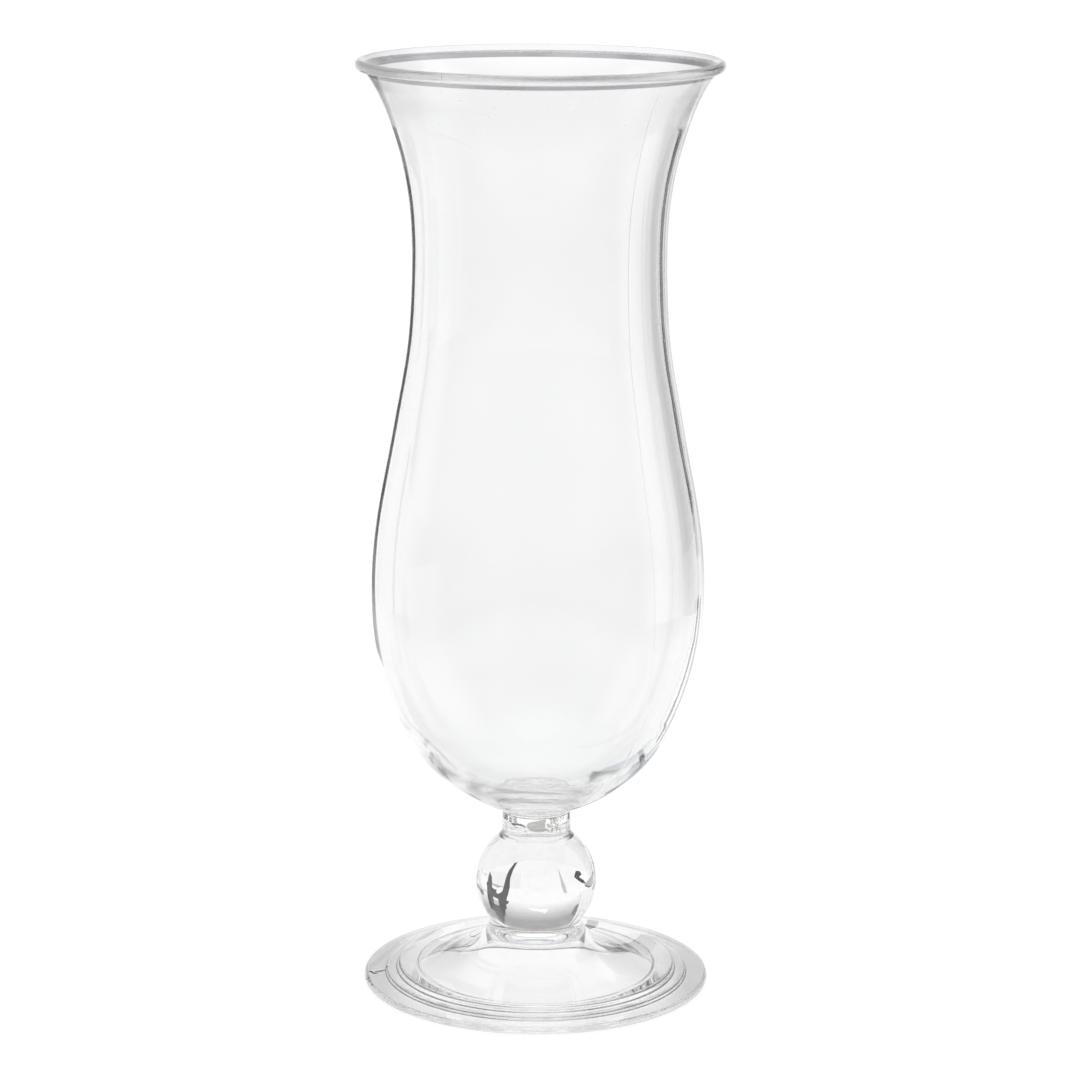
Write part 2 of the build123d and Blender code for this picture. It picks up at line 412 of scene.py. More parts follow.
# ---------------------------------------------------------------- bowl
BOWL = [
    (9.20, 40.42, 4.00), (10.50, 40.98, 3.70), (13.50, 42.48, 3.10), (17.00, 44.55, 2.50), (21.00, 47.60, 2.05),
    (25.00, 51.45, 1.75), (28.25, 56.00, 1.55), (31.40, 62.00, 1.40), (34.22, 70.00, 1.30), (36.22, 80.00, 1.22),
    (36.76, 90.00, 1.20), (36.28, 100.00, 1.20), (34.88, 110.00, 1.20), (32.95, 120.00, 1.20), (30.76, 132.00, 1.22),
    (28.72, 144.00, 1.25), (27.83, 156.00, 1.26), (27.67, 166.00, 1.26), (28.27, 176.00, 1.26), (29.68, 184.00, 1.28),
    (31.62, 191.00, 1.32), (33.38, 196.00, 1.38), (35.28, 200.00, 1.46), (36.95, 202.70, 1.55)]
NECK_R, NECK_Z, COVE = 7.65, 39.30, 0.70
BEAD_R, BEAD_C = 1.15, (38.55, 205.25)


def bead(deg):
    return (BEAD_C[0] + BEAD_R * math.cos(math.radians(deg)), BEAD_C[1] + BEAD_R * math.sin(math.radians(deg)))


def inward(table):
    pts = []
    for i, (r, z, t) in enumerate(table):
        a, b = table[max(i - 1, 0)], table[min(i + 1, len(table) - 1)]
        dr, dz = b[0] - a[0], b[1] - a[1]
        n = math.hypot(dr, dz)
        pts.append((r - t * dz / n, z + t * dr / n))
    return pts


bowl_p = Profile()
bowl_p.add(line((0, 34.70), (4.5, 34.70), 6), "wet")
bowl_p.add(line((4.5, 34.70), (5.0, 35.20), 3), "wet")
bowl_p.add(line((5.0, 35.20), (5.0, 39.30), 6), "wet")
bowl_p.add(line((5.0, 39.30), (NECK_R, NECK_Z), 5), "wet")
cove_c = (NECK_R + COVE, NECK_Z)
cove_end = (NECK_R + 0.593 * COVE, NECK_Z + 0.9135 * COVE)
bowl_p.add(arc(cove_c, COVE, 180.0, 114.0, 8), "out")
bowl_p.add(nat_spline([cove_end] + [(r, z) for r, z, _ in BOWL] + [bead(-113)], 300), "out")
bowl_p.add(arc(BEAD_C, BEAD_R, -113.0, 150.0, 40), "out")
n_out = len(bowl_p.pts)
bowl_p.add(nat_spline([bead(150)] + inward(BOWL)[3:-1][::-1] + [(11.0, 44.60), (7.0, 43.62), (3.5, 43.20), (0.0, 43.05)], 320), "in")
bowl_p.pts[-1] = np.array([0.0, 43.05])
# the band just under the rim bead takes the lip material, painted near black as shade
for i in range(n_out):
    if bowl_p.zone[i] == "out" and bowl_p.pts[i][0] < 38.08 and 203.20 < bowl_p.pts[i][1] < 204.22:
        bowl_p.zone[i] = "lip"


def bowl_move(th, r, z, i):
    d = np.zeros_like(th)
    zone = bowl_p.zone[min(i, len(bowl_p.zone) - 1)]
    zz = float(z[0])
    if zone in ("out", "lip") and zz > 41.0 and i < n_out:
        fade = min(1.0, max(0.0, (zz - 42.0) / 6.0)) * min(1.0, max(0.0, (203.2 - zz) / 2.0))
        for s in SEAM_DEG:
            dx = (np.mod(th - math.radians(s) + math.pi, 2 * math.pi) - math.pi) * r
            d += fade * (0.024 if s < 0 else 0.012) * np.exp(-(dx / 0.17) ** 2)
    if zone == "in":
        ease = min(1.0, max(0.0, (201.0 - zz) / 8.0))
        # the wall came out thinner on the left than on the right
        d += ease * min(1.0, max(0.0, (zz - 47.0) / 16.0)) * 0.42 * np.cos(th)
        d += ease * 0.030 * np.sin(2 * th + 0.6 + zz / 31.0) * np.sin(zz / 17.0 + 0.4)
        d += ease * 0.018 * np.sin(3 * th - 1.1 - zz / 23.0) * np.cos(zz / 11.0)
        rr = float(r[0])
        if rr < 12.0 and zz < 60.0:
            x, y = r * np.cos(th) - 0.5, r * np.sin(th) + 0.4
            q = np.hypot(x, y)
            g = np.arctan2(y, x)
            d += 0.42 * np.exp(-((q / 2.3) ** 2))
            d += (rr**2 / (1 + rr**2)) * 0.085 * np.exp(-((q / 4.6) ** 2)) * np.cos(2 * g - 1.55 * q)
            d += (rr**2 / (1 + rr**2)) * 0.05 * np.exp(-((q - 5.2) / 1.6) ** 2) * np.cos(g + 0.8)
    return d


bowl_cols = columns(256, [(s, 1.2, 0.12) for s in SEAM_DEG])
bowl = lathe("bowl_moulding", bowl_p, bowl_cols, {"wet": 1, "out": 0, "in": 0, "lip": 2}, bowl_move)
for m in (BOWL_MAT, WET_MAT, LIP_SHADE_MAT):
    bowl.data.materials.append(m)

# ---------------------------------------------------------------- stem: neck and ball, each with a socket
BALL_R, BALL_Z = 13.45, 22.75
stem_p = Profile()
stem_p.add(line((0, 29.20), (6.2, 29.20), 6), "wet")
stem_p.add(line((6.2, 29.20), (6.8, 28.60), 3), "wet")
stem_p.add(line((6.8, 28.60), (6.8, 14.10), 8), "wet")
stem_p.add(line((6.8, 14.10), (10.30, 14.10), 6), "wet")
d_lo = math.degrees(math.asin((14.10 - BALL_Z) / BALL_R))
d_hi = math.degrees(math.acos(8.60 / BALL_R))
stem_p.add(arc((0, BALL_Z), BALL_R, d_lo, d_hi, 150), "out")
top_ball = (BALL_R * math.cos(math.radians(d_hi)), BALL_Z + BALL_R * math.sin(math.radians(d_hi)))
stem_p.add(nat_spline([top_ball, (8.16, 33.52), (7.86, 33.98), (7.70, 34.46), (7.65, 35.00)], 16), "out")
stem_p.add(line((7.65, 35.00), (7.65, 39.10), 22), "out")
stem_p.add(line((7.65, 39.10), (5.2, 39.10), 5), "wet")
stem_p.add(line((5.2, 39.10), (5.2, 35.00), 6), "wet")
stem_p.add(line((5.2, 35.00), (4.7, 34.50), 3), "wet")
stem_p.add(line((4.7, 34.50), (0.0, 34.50), 6), "wet")


def stem_move(th, r, z, i):
    """Slight unevenness of the ball as moulded; none at its joints or at its widest."""
    d = np.zeros_like(th)
    zz = float(z[0])
    if stem_p.zone[min(i, len(stem_p.zone) - 1)] == "out" and zz < 33.5:
        ease = min(1.0, max(0.0, (zz - 14.4) / 2.0)) * min(1.0, max(0.0, (32.9 - zz) / 1.5)) * min(1.0, abs(zz - BALL_Z) / 1.5)
        d -= ease * 0.006 * (1.0 + np.sin(5 * th + 0.7 + zz * 0.55) * np.sin(zz * 0.83 + 1.3))
        d -= ease * 0.002 * (1.0 + np.sin(11 * th - 0.4 - zz * 0.9) * np.cos(zz * 1.31 + 0.5))
    return d


for i, (r, z) in enumerate(stem_p.pts):
    if stem_p.zone[i] == "out" and 7.66 < r < 8.45 and 33.2 < z < 34.75:
        stem_p.zone[i] = "corner"
stem = lathe("ball_stem_moulding", stem_p, columns(256), {"wet": 1, "out": 0, "corner": 2}, stem_move)
for m in (STEM_MAT, WET_MAT, CORNER_MAT):
    stem.data.materials.append(m)

# ---------------------------------------------------------------- foot
E1, E2 = 31.15, 33.75
foot_p = Profile()
foot_p.add(line((0, 29.00), (6.0, 29.00), 5), "wet")
foot_p.add(line((6.0, 29.00), (6.6, 28.40), 3), "wet")
foot_p.add(line((6.6, 28.40), (6.6, 13.90), 8), "wet")
foot_p.add(line((6.6, 13.90), (10.30, 13.90), 5), "wet")
flare = nat_spline([(10.30, 13.90), (10.48, 13.0), (11.05, 11.6), (12.15, 10.05), (13.70, 8.60), (16.20, 7.10),
                    (19.60, 5.85), (24.00, 4.75), (28.00, 4.05), (E1 - 0.75, 3.68)], 90)
edge = nat_spline([(E1 - 0.75, 3.68), (E1 - 0.32, 3.52), (E1 - 0.02, 3.12), (E1 + 0.12, 2.66), (E1 + 0.42, 2.44)], 22)
ledge = nat_spline([(E1 + 0.42, 2.44), (E2 - 0.50, 2.36), (E2 - 0.16, 2.24), (E2 + 0.02, 1.98), (E2 + 0.12, 1.70), (E2 + 0.36, 1.56)], 30)
foot_out = np.concatenate([flare, edge[1:], ledge[1:], line((E2 + 0.36, 1.56), (37.85, 1.70), 30)[1:],
                           nat_spline([(37.85, 1.70), (38.48, 1.42), (38.70, 0.85), (38.48, 0.28), (37.90, 0.0)], 26)[1:]])
foot_p.add(foot_out, "out")
foot_p.add(line((37.90, 0.0), (26.55, 0.0), 24), "out")
foot_p.add(nat_spline([(26.55, 0.0), (26.28, 0.10), (26.20, 0.35), (26.08, 0.85), (25.95, 1.10)], 14), "out")
foot_p.add(nat_spline([(25.95, 1.10), (22.50, 2.10), (18.85, 3.20), (15.05, 4.70), (12.17, 6.50), (10.20, 8.20), (8.40, 9.70), (5.50, 10.90), (2.80, 11.35), (0.0, 11.45)], 90), "under")
foot_p.pts[-1] = np.array([0.0, 11.45])
# the step corners on top of the foot take the corner-line material with its painted shade
for i, (r, z) in enumerate(foot_p.pts):
    top = z > 1.3 and any(a < r < b for a, b in ((E1 - 0.47, E1 - 0.20), (E1 + 0.11, E1 + 0.38), (E2 - 0.27, E2 - 0.05), (E2 + 0.09, E2 + 0.32)))
    if foot_p.zone[i] == "out" and top:
        foot_p.zone[i] = "line"
    # the edge of the hollow underneath takes the hollow-line material with its painted shade
    if foot_p.zone[i] == "out" and z < 1.05 and 26.0 < r < 26.45:
        foot_p.zone[i] = "hollow"
GATE = (-34.9, -2.2, math.radians(216.0))  # trimmed gate on the flange: centre and direction


def foot_move(th, r, z, i):
    d = np.zeros_like(th)
    rr, zz = float(r[0]), float(z[0])
    if 33.0 < rr < 38.2 and zz > 1.3:
        x, y = r * np.cos(th) - GATE[0], r * np.sin(th) - GATE[1]
        u = x * math.cos(GATE[2]) + y * math.sin(GATE[2])
        v = -x * math.sin(GATE[2]) + y * math.cos(GATE[2])
        stem_bar = 1 / (1 + np.exp((np.abs(u) - 2.1) / 0.12)) / (1 + np.exp((np.abs(v) - 0.46) / 0.10))
        head = 1 / (1 + np.exp((np.abs(u - 2.2) - 0.36) / 0.10)) / (1 + np.exp((np.abs(v) - 1.15) / 0.12))
        d += 0.20 * np.maximum(stem_bar, head)
    return d


foot_cols = columns(256, [(183.6, 7.0, 0.18)])
# drawn from the pin outwards, over the top, and back underneath, so it is turned round to keep faces outward
foot_r = Profile()
foot_r.pts, foot_r.zone = list(foot_p.pts[::-1]), [foot_p.zone[max(len(foot_p.zone) - 2 - i, 0)] for i in range(len(foot_p.zone))]
foot = lathe("foot_moulding", foot_r, foot_cols, {"wet": 1, "out": 0, "under": 2, "line": 3, "hollow": 4}, foot_move)
for m in (FOOT_MAT, WET_MAT, UNDER_MAT, RING_SHADE_MAT, HOLLOW_SHADE_MAT):
    foot.data.materials.append(m)


# ---------------------------------------------------------------- bonds
def bond(name, pts, edge_from, edge_to, cols, voids, slots):
    """Closed film; the run between the two named points is the open edge, the rest is wetted."""
    p = Profile()
    for a, b in zip(pts[:-1], pts[1:]):
        if a == edge_from and b == edge_to:
            mid = ((a[0] + b[0]) / 2 - 0.05, (a[1] + b[1]) / 2)
            p.add(nat_spline([a, mid, b], 7), "edge")
        else:
            p.add(line(a, b, 5), "wet")
    ob = lathe(name, p, cols, {"wet": 0, "edge": 1})
    me = ob.data
    verts = [tuple(v.co) for v in me.vertices]
    faces = [tuple(f.vertices) for f in me.polygons]
    mats = [f.material_index for f in me.polygons]
    voids((verts, faces, mats))
    bpy.data.objects.remove(ob)
    bpy.data.meshes.remove(me)
    ob = mesh_object(name, verts, faces, mats)
    for m in slots:
        ob.data.materials.append(m)
    return ob


def neck_voids(store):
    # the grey to near-black colour of all these pockets and patches is painted shade
    # small bubbles in the shoulder of the joint, mostly front right
    for _ in range(26):
        g = math.radians(rng.uniform(-86, -32))
        q = rng.uniform(5.7, 7.2)
        s = rng.uniform(0.10, 0.34)
        k = rng.uniform(0.55, 1.0)
        e = np.array([-math.sin(g), math.cos(g), 0.0])
        f = np.array([math.cos(g), math.sin(g), 0.0])
        void_lens(store, (q * math.cos(g), q * math.sin(g), 39.2), e * s, f * s * k, (0, 0, 0.075), 3)
    for _ in range(10):
        g = math.radians(rng.uniform(0, 360))
        q = rng.uniform(5.7, 7.2)
        s = rng.uniform(0.08, 0.20)
        void_lens(store, (q * math.cos(g), q * math.sin(g), 39.2), (s, 0, 0), (0, s, 0), (0, 0, 0.07), 3)
    # mottled patch down the right of the pin
    for _ in range(70):
        g = math.radians(rng.normal(-42, 13))
        z = rng.uniform(35.2, 38.9)
        s = rng.uniform(0.10, 0.32)
        e = np.array([-math.sin(g), math.cos(g), 0.0])
        f = np.array([math.cos(g), math.sin(g), 0.0])
        void_lens(store, (5.1 * math.cos(g), 5.1 * math.sin(g), z), e * s, np.array([0, 0, s * rng.uniform(0.6, 1.3)]), f * 0.06, 2)
    # dry half-moon on the front of the pin
    void_patch(store, [(-69.5, 38.5), (-78, 38.45), (-90, 38.2), (-101, 37.95), (-108, 37.65), (-111.5, 37.2), (-110.5, 36.7), (-106, 36.2), (-99, 35.85),
                       (-90, 35.65), (-80, 35.62), (-72, 35.75), (-69.5, 36.2), (-70.2, 37.3)], 5.1, 0.075, 0.45, 2)
    # dry streaks round the left of the pin
    for _ in range(24):
        g0 = rng.uniform(-196, -142)
        dg = rng.uniform(7, 19)
        z = rng.uniform(35.3, 38.8)
        t = rng.uniform(0.11, 0.25)
        sl = rng.uniform(-0.25, 0.25)
        void_patch(store, [(g0, z), (g0 + dg * 0.3, z - t + sl * 0.3), (g0 + dg * 0.7, z - t * 0.8 + sl * 0.7), (g0 + dg, z + sl), (g0 + dg * 0.6, z + t + sl * 0.6),
                           (g0 + dg * 0.25, z + t * 0.7 + sl * 0.25)], 5.1, 0.06, 0.12, 3, step=0.09)
    # scalloped rim of air round the bottom corner of the socket
    for g0 in np.arange(-176, -24, 9.0):
        g = math.radians(g0 + rng.uniform(-2, 2))
        e = np.array([-math.sin(g), math.cos(g), 0.0])
        f = np.array([math.cos(g), math.sin(g), 0.0])
        sx, sy = rng.uniform(0.28, 0.52), rng.uniform(0.16, 0.30)
        c = f * 4.85 + np.array([0, 0, 34.72 + rng.uniform(-0.05, 0.10)])
        void_lens(store, c, e * sx, (f + np.array([0, 0, 1.0])) / 1.4142 * sy, (f - np.array([0, 0, 1.0])) / 1.4142 * 0.06, 3)


def foot_voids(store):
    for _ in range(14):
        g = math.radians(rng.uniform(0, 360))
        q = rng.uniform(7.4, 9.8)
        s = rng.uniform(0.10, 0.30)
        void_lens(store, (q * math.cos(g), q * math.sin(g), 14.0), (s, 0, 0), (0, s * 0.8, 0), (0, 0, 0.07), 1)


neck_bond = bond("neck_bond_film", [(0, 34.50), (4.7, 34.50), (5.2, 35.00), (5.2, 39.10), (7.65, 39.10), (7.65, 39.30),
                                    (5.0, 39.30), (5.0, 35.20), (4.5, 34.70), (0, 34.70)], (7.65, 39.10), (7.65, 39.30), columns(160), neck_voids,
                 (WET_MAT, EDGE_MAT, DRY_SHADE_MAT, AIR_SHADE_MAT))
foot_bond = bond("foot_bond_film", [(0, 29.00), (6.0, 29.00), (6.6, 28.40), (6.6, 13.90), (10.30, 13.90), (10.30, 14.10),
                                    (6.8, 14.10), (6.8, 28.60), (6.2, 29.20), (0, 29.20)], (10.30, 13.90), (10.30, 14.10), columns(160), foot_voids,
                 (WET_MAT, EDGE_MAT))

for piece, nd, sl in ((bowl, "bowl", "clear_plastic"), (stem, "ball_stem", "clear_plastic"), (foot, "foot", "clear_plastic"),
                      (neck_bond, "neck_bond", "cured_bond"), (foot_bond, "foot_bond", "cured_bond")):
    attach(piece, "root")
    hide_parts(nd)

# ---------------------------------------------------------------- floor
me = bpy.data.meshes.new("floor")
s, g = 30.0, 24
fv = [(-s + 2 * s * i / g, -s + 2 * s * j / g, -0.00005) for j in range(g + 1) for i in range(g + 1)]
ff = [(j * (g + 1) + i, j * (g + 1) + i + 1, (j + 1) * (g + 1) + i + 1, (j + 1) * (g + 1) + i) for j in range(g) for i in range(g)]
me.from_pydata(fv, [], ff)
floor = bpy.data.objects.new("floor", me)
bpy.context.scene.collection.objects.link(floor)
fm, t = tree("pale_floor")
out = node(t, "ShaderNodeOutputMaterial")
bs = node(t, "ShaderNodeBsdfPrincipled")
t.links.new(bs.outputs[0], out.inputs[0])
bs.inputs["Roughness"].default_value = 0.9
bs.inputs["Specular IOR Level"].default_value = 0.0
nz = node(t, "ShaderNodeTexNoise")
nz.inputs["Scale"].default_value, nz.inputs["Detail"].default_value = 9.0, 3.0
fpos = node(t, "ShaderNodeTexCoord").outputs["Object"]
t.links.new(fpos, nz.inputs["Vector"])
fs = node(t, "ShaderNodeSeparateXYZ")
t.links.new(fpos, fs.inputs[0])
# the table is lit from below along a strip that runs back from the object, and its light falls off to the sides and the front
half = maths(t, "ADD", maths(t, "MULTIPLY", maths(t, "MAXIMUM", fs.outputs[1], 0.0), 0.45), 0.15)
side = maprange(t, maths(t, "DIVIDE", maths(t, "ABSOLUTE", fs.outputs[0]), half), 1.0, 2.2, 1.0, 0.0, True)
fall = maths(t, "MULTIPLY", maprange(t, fs.outputs[1], -0.80, -0.07, 0.0, 1.0, True), side)
fall = maprange(t, fall, 0.0, 1.0, 0.62, 1.0)
t.links.new(maths(t, "MULTIPLY", maprange(t, nz.outputs["Fac"], 0.3, 0.7, 0.212, 0.226), fall), bs.inputs["Base Color"])
bs.inputs["Emission Color"].default_value = (1.0, 1.0, 1.0, 1.0)
t.links.new(maths(t, "MULTIPLY", fall, 0.88), bs.inputs["Emission Strength"])
floor.data.materials.append(fm)


# ---------------------------------------------------------------- studio: boards and light panels stand round the object, out of the camera's sight
def plain(name, value, emit):
    m, t = tree(name)
    out = node(t, "ShaderNodeOutputMaterial")
    e = node(t, "ShaderNodeEmission")
    e.inputs[0].default_value = (value, value, value, 1.0)
    e.inputs[1].default_value = emit
    t.links.new(e.outputs[0], out.inputs[0])
    return m


def board(name, a0, a1, dist, z0, z1, mat, transmit=True):
    """Upright board between two bearings (degrees, 0 behind the object, + to the right)."""
    v = []
    for a in (a0, a1):
        g = math.radians(a)
        v += [(dist * math.sin(g), dist * math.cos(g), z0), (dist * math.sin(g), dist * math.cos(g), z1)]
    me = bpy.data.meshes.new(name)
    me.from_pydata(v, [], [(0, 2, 3, 1)])
    me.materials.append(mat)
    ob = bpy.data.objects.new(name, me)
    bpy.context.scene.collection.objects.link(ob)
    ob.visible_camera = ob.visible_diffuse = ob.visible_shadow = ob.visible_volume_scatter = False
    ob.visible_transmission = transmit
    return ob


def sheet(name, pts, mat):
    """Flat card with any outline (mm)."""
    me = bpy.data.meshes.new(name)
    me.from_pydata([(x * MM, y * MM, z * MM) for x, y, z in pts], [], [tuple(range(len(pts)))])
    me.materials.append(mat)
    ob = bpy.data.objects.new(name, me)
    bpy.context.scene.collection.objects.link(ob)
    ob.visible_camera = ob.visible_diffuse = ob.visible_shadow = ob.visible_volume_scatter = False
    return ob


def standing(name, pts, dist, mat):
    """Card bent round the object at one distance; pts are bearing and height."""
    return sheet(name, [(dist * math.sin(math.radians(a)), dist * math.cos(math.radians(a)), z) for a, z in pts], mat)


BLACK = plain("board_black", 0.03, 1.0)
DARK = plain("board_dark", 0.10, 1.0)
GREY = plain("board_grey", 0.45, 1.0)
PALE = plain("board_pale", 0.62, 1.0)
DIM = plain("board_dim", 0.22, 1.0)
SHADE = plain("board_shade", 0.15, 1.0)
WHITE = plain("board_white", 0.96, 1.0)
BRIGHT = plain("window_light", 1.0, 1.05)
BLUISH = plain("board_bluish", 1.0, 1.0)
BLUISH.node_tree.nodes["Emission"].inputs[0].default_value = (0.48, 0.53, 0.60, 1.0)


def soft_panel(name, a0, a1, dist, z0, z1, level, fade0, fade1):
    """Light panel between two bearings; its light falls off over the given share of its width at each end."""
    m, t = tree(name + "_light")
    out = node(t, "ShaderNodeOutputMaterial")
    e = node(t, "ShaderNodeEmission")
    u = node(t, "ShaderNodeSeparateXYZ")
    t.links.new(node(t, "ShaderNodeUVMap", uv_map="UVMap").outputs[0], u.inputs[0])
    f = maths(t, "MULTIPLY", maprange(t, u.outputs[0], 0.0, fade0, 0.0, 1.0, True), maprange(t, u.outputs[0], 1.0 - fade1, 1.0, 1.0, 0.0, True))
    t.links.new(maprange(t, f, 0.0, 1.0, 0.55, level), e.inputs[1])
    t.links.new(e.outputs[0], out.inputs[0])
    n = 24
    v, uv = [], []
    for i in range(n + 1):
        g = math.radians(a0 + (a1 - a0) * i / n)
        v += [(dist * math.sin(g), dist * math.cos(g), z0), (dist * math.sin(g), dist * math.cos(g), z1)]
        uv += [(i / n, 0.0), (i / n, 1.0)]
    me = bpy.data.meshes.new(name)
    me.from_pydata(v, [], [(2 * i, 2 * i + 2, 2 * i + 3, 2 * i + 1) for i in range(n)])
    lay = me.uv_layers.new(name="UVMap")
    for lp in me.loops:
        lay.data[lp.index].uv = uv[lp.vertex_index]
    me.materials.append(m)
    ob = bpy.data.objects.new(name, me)
    bpy.context.scene.collection.objects.link(ob)
    ob.visible_camera = ob.visible_diffuse = ob.visible_shadow = ob.visible_volume_scatter = False


# dark end of the room far behind right, its outline uneven
standing("room_right", [(20.6, 0), (30, 0), (38, 0), (44.5, 0), (46.5, 1071), (45.5, 1763), (46.6, 2501), (43, 2871), (40.8, 3748), (41.5, 4532), (37.5, 4994), (37.5, 7994), (36.2, 7994), (34, 6148), (31, 4901), (29.2, 3794), (26.6, 3148), (26, 2132), (23.6, 1440), (24, 794), (22, 563)], 12000.0, DARK)
# narrow flag behind right
standing("flag_right_low", [(30.5, 0), (36.5, 0), (36.6, 34), (30.4, 34)], 360.0, WHITE)
standing("flag_right_next", [(30.4, 34), (36.6, 34), (36.7, 62), (30.3, 62)], 360.0, PALE)
standing("flag_right", [(30.3, 62), (36.7, 62), (36.8, 80), (38.3, 95), (38.3, 190), (29.8, 190), (29.8, 95), (30.2, 80)], 360.0, SHADE)
# strip close behind left that follows the outline of the bowl
def strip_left(name, z0, z1, mat):
    tab = np.array(BOWL)
    zs = np.linspace(z0, z1, 12)
    rs = np.interp(zs, tab[:, 1], tab[:, 0])
    near = [(-r - 14.5, 60.0, z - 14.0) for r, z in zip(rs, zs)]
    far = [(-r - 14.5 - 0.698 * 70.0, 60.0 + 0.716 * 70.0, z - 14.0 - 70.0 * (447.0 - z) / 779.0) for r, z in zip(rs, zs)]
    v = near + far
    me = bpy.data.meshes.new(name)
    n = len(near)
    me.from_pydata([(x * MM, y * MM, z * MM) for x, y, z in v], [], [(i, i + 1, n + i + 1, n + i) for i in range(n - 1)])
    me.materials.append(mat)
    ob = bpy.data.objects.new(name, me)
    bpy.context.scene.collection.objects.link(ob)
    ob.visible_camera = ob.visible_diffuse = ob.visible_shadow = ob.visible_volume_scatter = False


def shade_right():
    """Shaded sheet close behind right that follows the outline of the bowl and darkens outwards."""
    m, t = tree("shade_right_light")
    out = node(t, "ShaderNodeOutputMaterial")
    e = node(t, "ShaderNodeEmission")
    u = node(t, "ShaderNodeSeparateXYZ")
    t.links.new(node(t, "ShaderNodeUVMap", uv_map="UVMap").outputs[0], u.inputs[0])
    drop = ramp(t, u.outputs[0], ((0.0, 0.0), (0.19, 0.08), (0.33, 0.18), (0.615, 0.43), (1.0, 0.46)))
    drop = maths(t, "MULTIPLY", drop, maprange(t, u.outputs[1], 0.0, 0.24, 0.0, 1.05, True))
    t.links.new(maths(t, "SUBTRACT", 1.05, drop), e.inputs[1])
    t.links.new(e.outputs[0], out.inputs[0])
    tab = np.array(BOWL)
    zs = np.linspace(70.0, 200.0, 28)
    v, uv = [], []
    for r, z in zip(np.interp(zs, tab[:, 1], tab[:, 0]), zs):
        v += [((r - 4.0) * MM, 60.0 * MM, (z - 14.0) * MM), ((r + 22.0) * MM, 60.0 * MM, (z - 14.0) * MM)]
        uv += [(0.0, (z - 70.0) / 130.0), (1.0, (z - 70.0) / 130.0)]
    me = bpy.data.meshes.new("shade_right")
    me.from_pydata(v, [], [(2 * i, 2 * i + 1, 2 * i + 3, 2 * i + 2) for i in range(len(zs) - 1)])
    lay = me.uv_layers.new(name="UVMap")
    for lp in me.loops:
        lay.data[lp.index].uv = uv[lp.vertex_index]
    me.materials.append(m)
    ob = bpy.data.objects.new("shade_right", me)
    bpy.context.scene.collection.objects.link(ob)
    ob.visible_camera = ob.visible_diffuse = ob.visible_shadow = ob.visible_volume_scatter = False


strip_left("strip_left_low", 72.0, 92.0, GREY)
strip_left("strip_left_next", 92.0, 110.0, DIM)
strip_left("strip_left_mid", 110.0, 188.0, DARK)
strip_left("strip_left_top", 188.0, 203.0, DIM)
# low ragged card close behind right, with a dark point on the table towards the foot that is painted shade on the
# table, seen only through the glass
standing("card_right_1", [(33.6, 2.5), (34.6, 6), (35.1, 10.3), (35.3, 16.9), (35.8, 18.3), (16.9, 18.3), (14.9, 13.5), (13.7, 9.6), (13.7, 5.2), (12.6, 0.4), (15.1, 0.4), (15.3, 0.7),
                          (16.5, 4.1), (17.3, 7.9), (18.8, 12.2), (20, 13.4), (21.5, 14.1), (22.6, 15.0), (24.3, 14.6), (24.2, 12.2), (25.8, 12.9), (28.6, 12.2), (29.0, 9.4), (30.0, 5.6), (32, 4.4)], 55.0, DARK)
sheet("stripe_right_1", [(6, 41, 0.4), (9, 42.5, 0.4), (10, 47, 0.4), (14.3, 53.1, 0.4), (12, 53.7, 0.4), (8, 46, 0.4), (6, 43, 0.4)][::-1], DARK)
standing("card_right_2", [(39.0, 0), (42.8, 0), (43.4, 30), (43.0, 56), (39.2, 58), (38.8, 24)], 150.0, BLACK)
# dark stripe lying on the table, seen only through the glass: painted shade on the table
sheet("stripe_right_2", [(74, 82, 0.4), (104, 108, 0.4), (92, 119, 0.4), (66, 90, 0.4)], BLACK)
# white card behind it, and small dark ones at each side, level with the foot of the neck
for k in range(4):
    standing("card_right_white_%d" % k, [(8 + 8 * k, 0.3), (16 + 8 * k, 0.3), (16 + 8 * k, 8.8), (8 + 8 * k, 8.8)], 60.0, WHITE)
standing("card_side_right", [(44, 18.9), (52, 19.1), (60, 18.8), (72, 19.2), (70, 23.6), (60, 22.4), (52, 24.0), (44, 22.6)], 55.0, DARK)
standing("card_side_left", [(-55, 18.8), (-62, 19.0), (-68, 18.8), (-74, 19.2), (-73, 22.6), (-66, 22.0), (-60, 22.8), (-55, 22.0)], 55.0, DIM)
# ragged cards close behind left
standing("card_left_3", [(-26.1, 1.3), (-30.6, 1.8), (-32.4, 4.2), (-28.6, 5.4), (-34.6, 8.5), (-38, 11.6), (-31.6, 9.8), (-27, 7.2), (-23.3, 4.8)], 55.0, BLACK)
standing("card_left_4", [(-34.5, 11.5), (-42, 10), (-52, 8), (-58, 6), (-63, 9.5), (-58, 13.8), (-50, 15.2), (-43, 14.6)], 55.0, GREY)
standing("card_left_5", [(-36, 12.0), (-44, 14.9), (-51, 15.6), (-59, 14.4), (-58, 15.6), (-50, 16.8), (-43, 15.9), (-36, 13.0)], 54.5, DARK)
# dim corner of the room far behind left, and a pale stripe on the table, seen only through the glass, that is painted
# shade on the table
standing("room_left", [(-49.6, 1941), (-41.7, 1566), (-37.2, 1574), (-34.6, 1918), (-33.9, 2498), (-32.4, 3361), (-38.0, 4411), (-43.5, 4766), (-45.0, 4625), (-49.9, 4189), (-50.7, 3511)], 12000.0, DIM)
sheet("stripe_left_1", [(-10, 50, 0.4), (-31, 92, 0.4), (-60, 150, 0.4), (-52, 150, 0.4), (-26, 92, 0.4)], PALE)
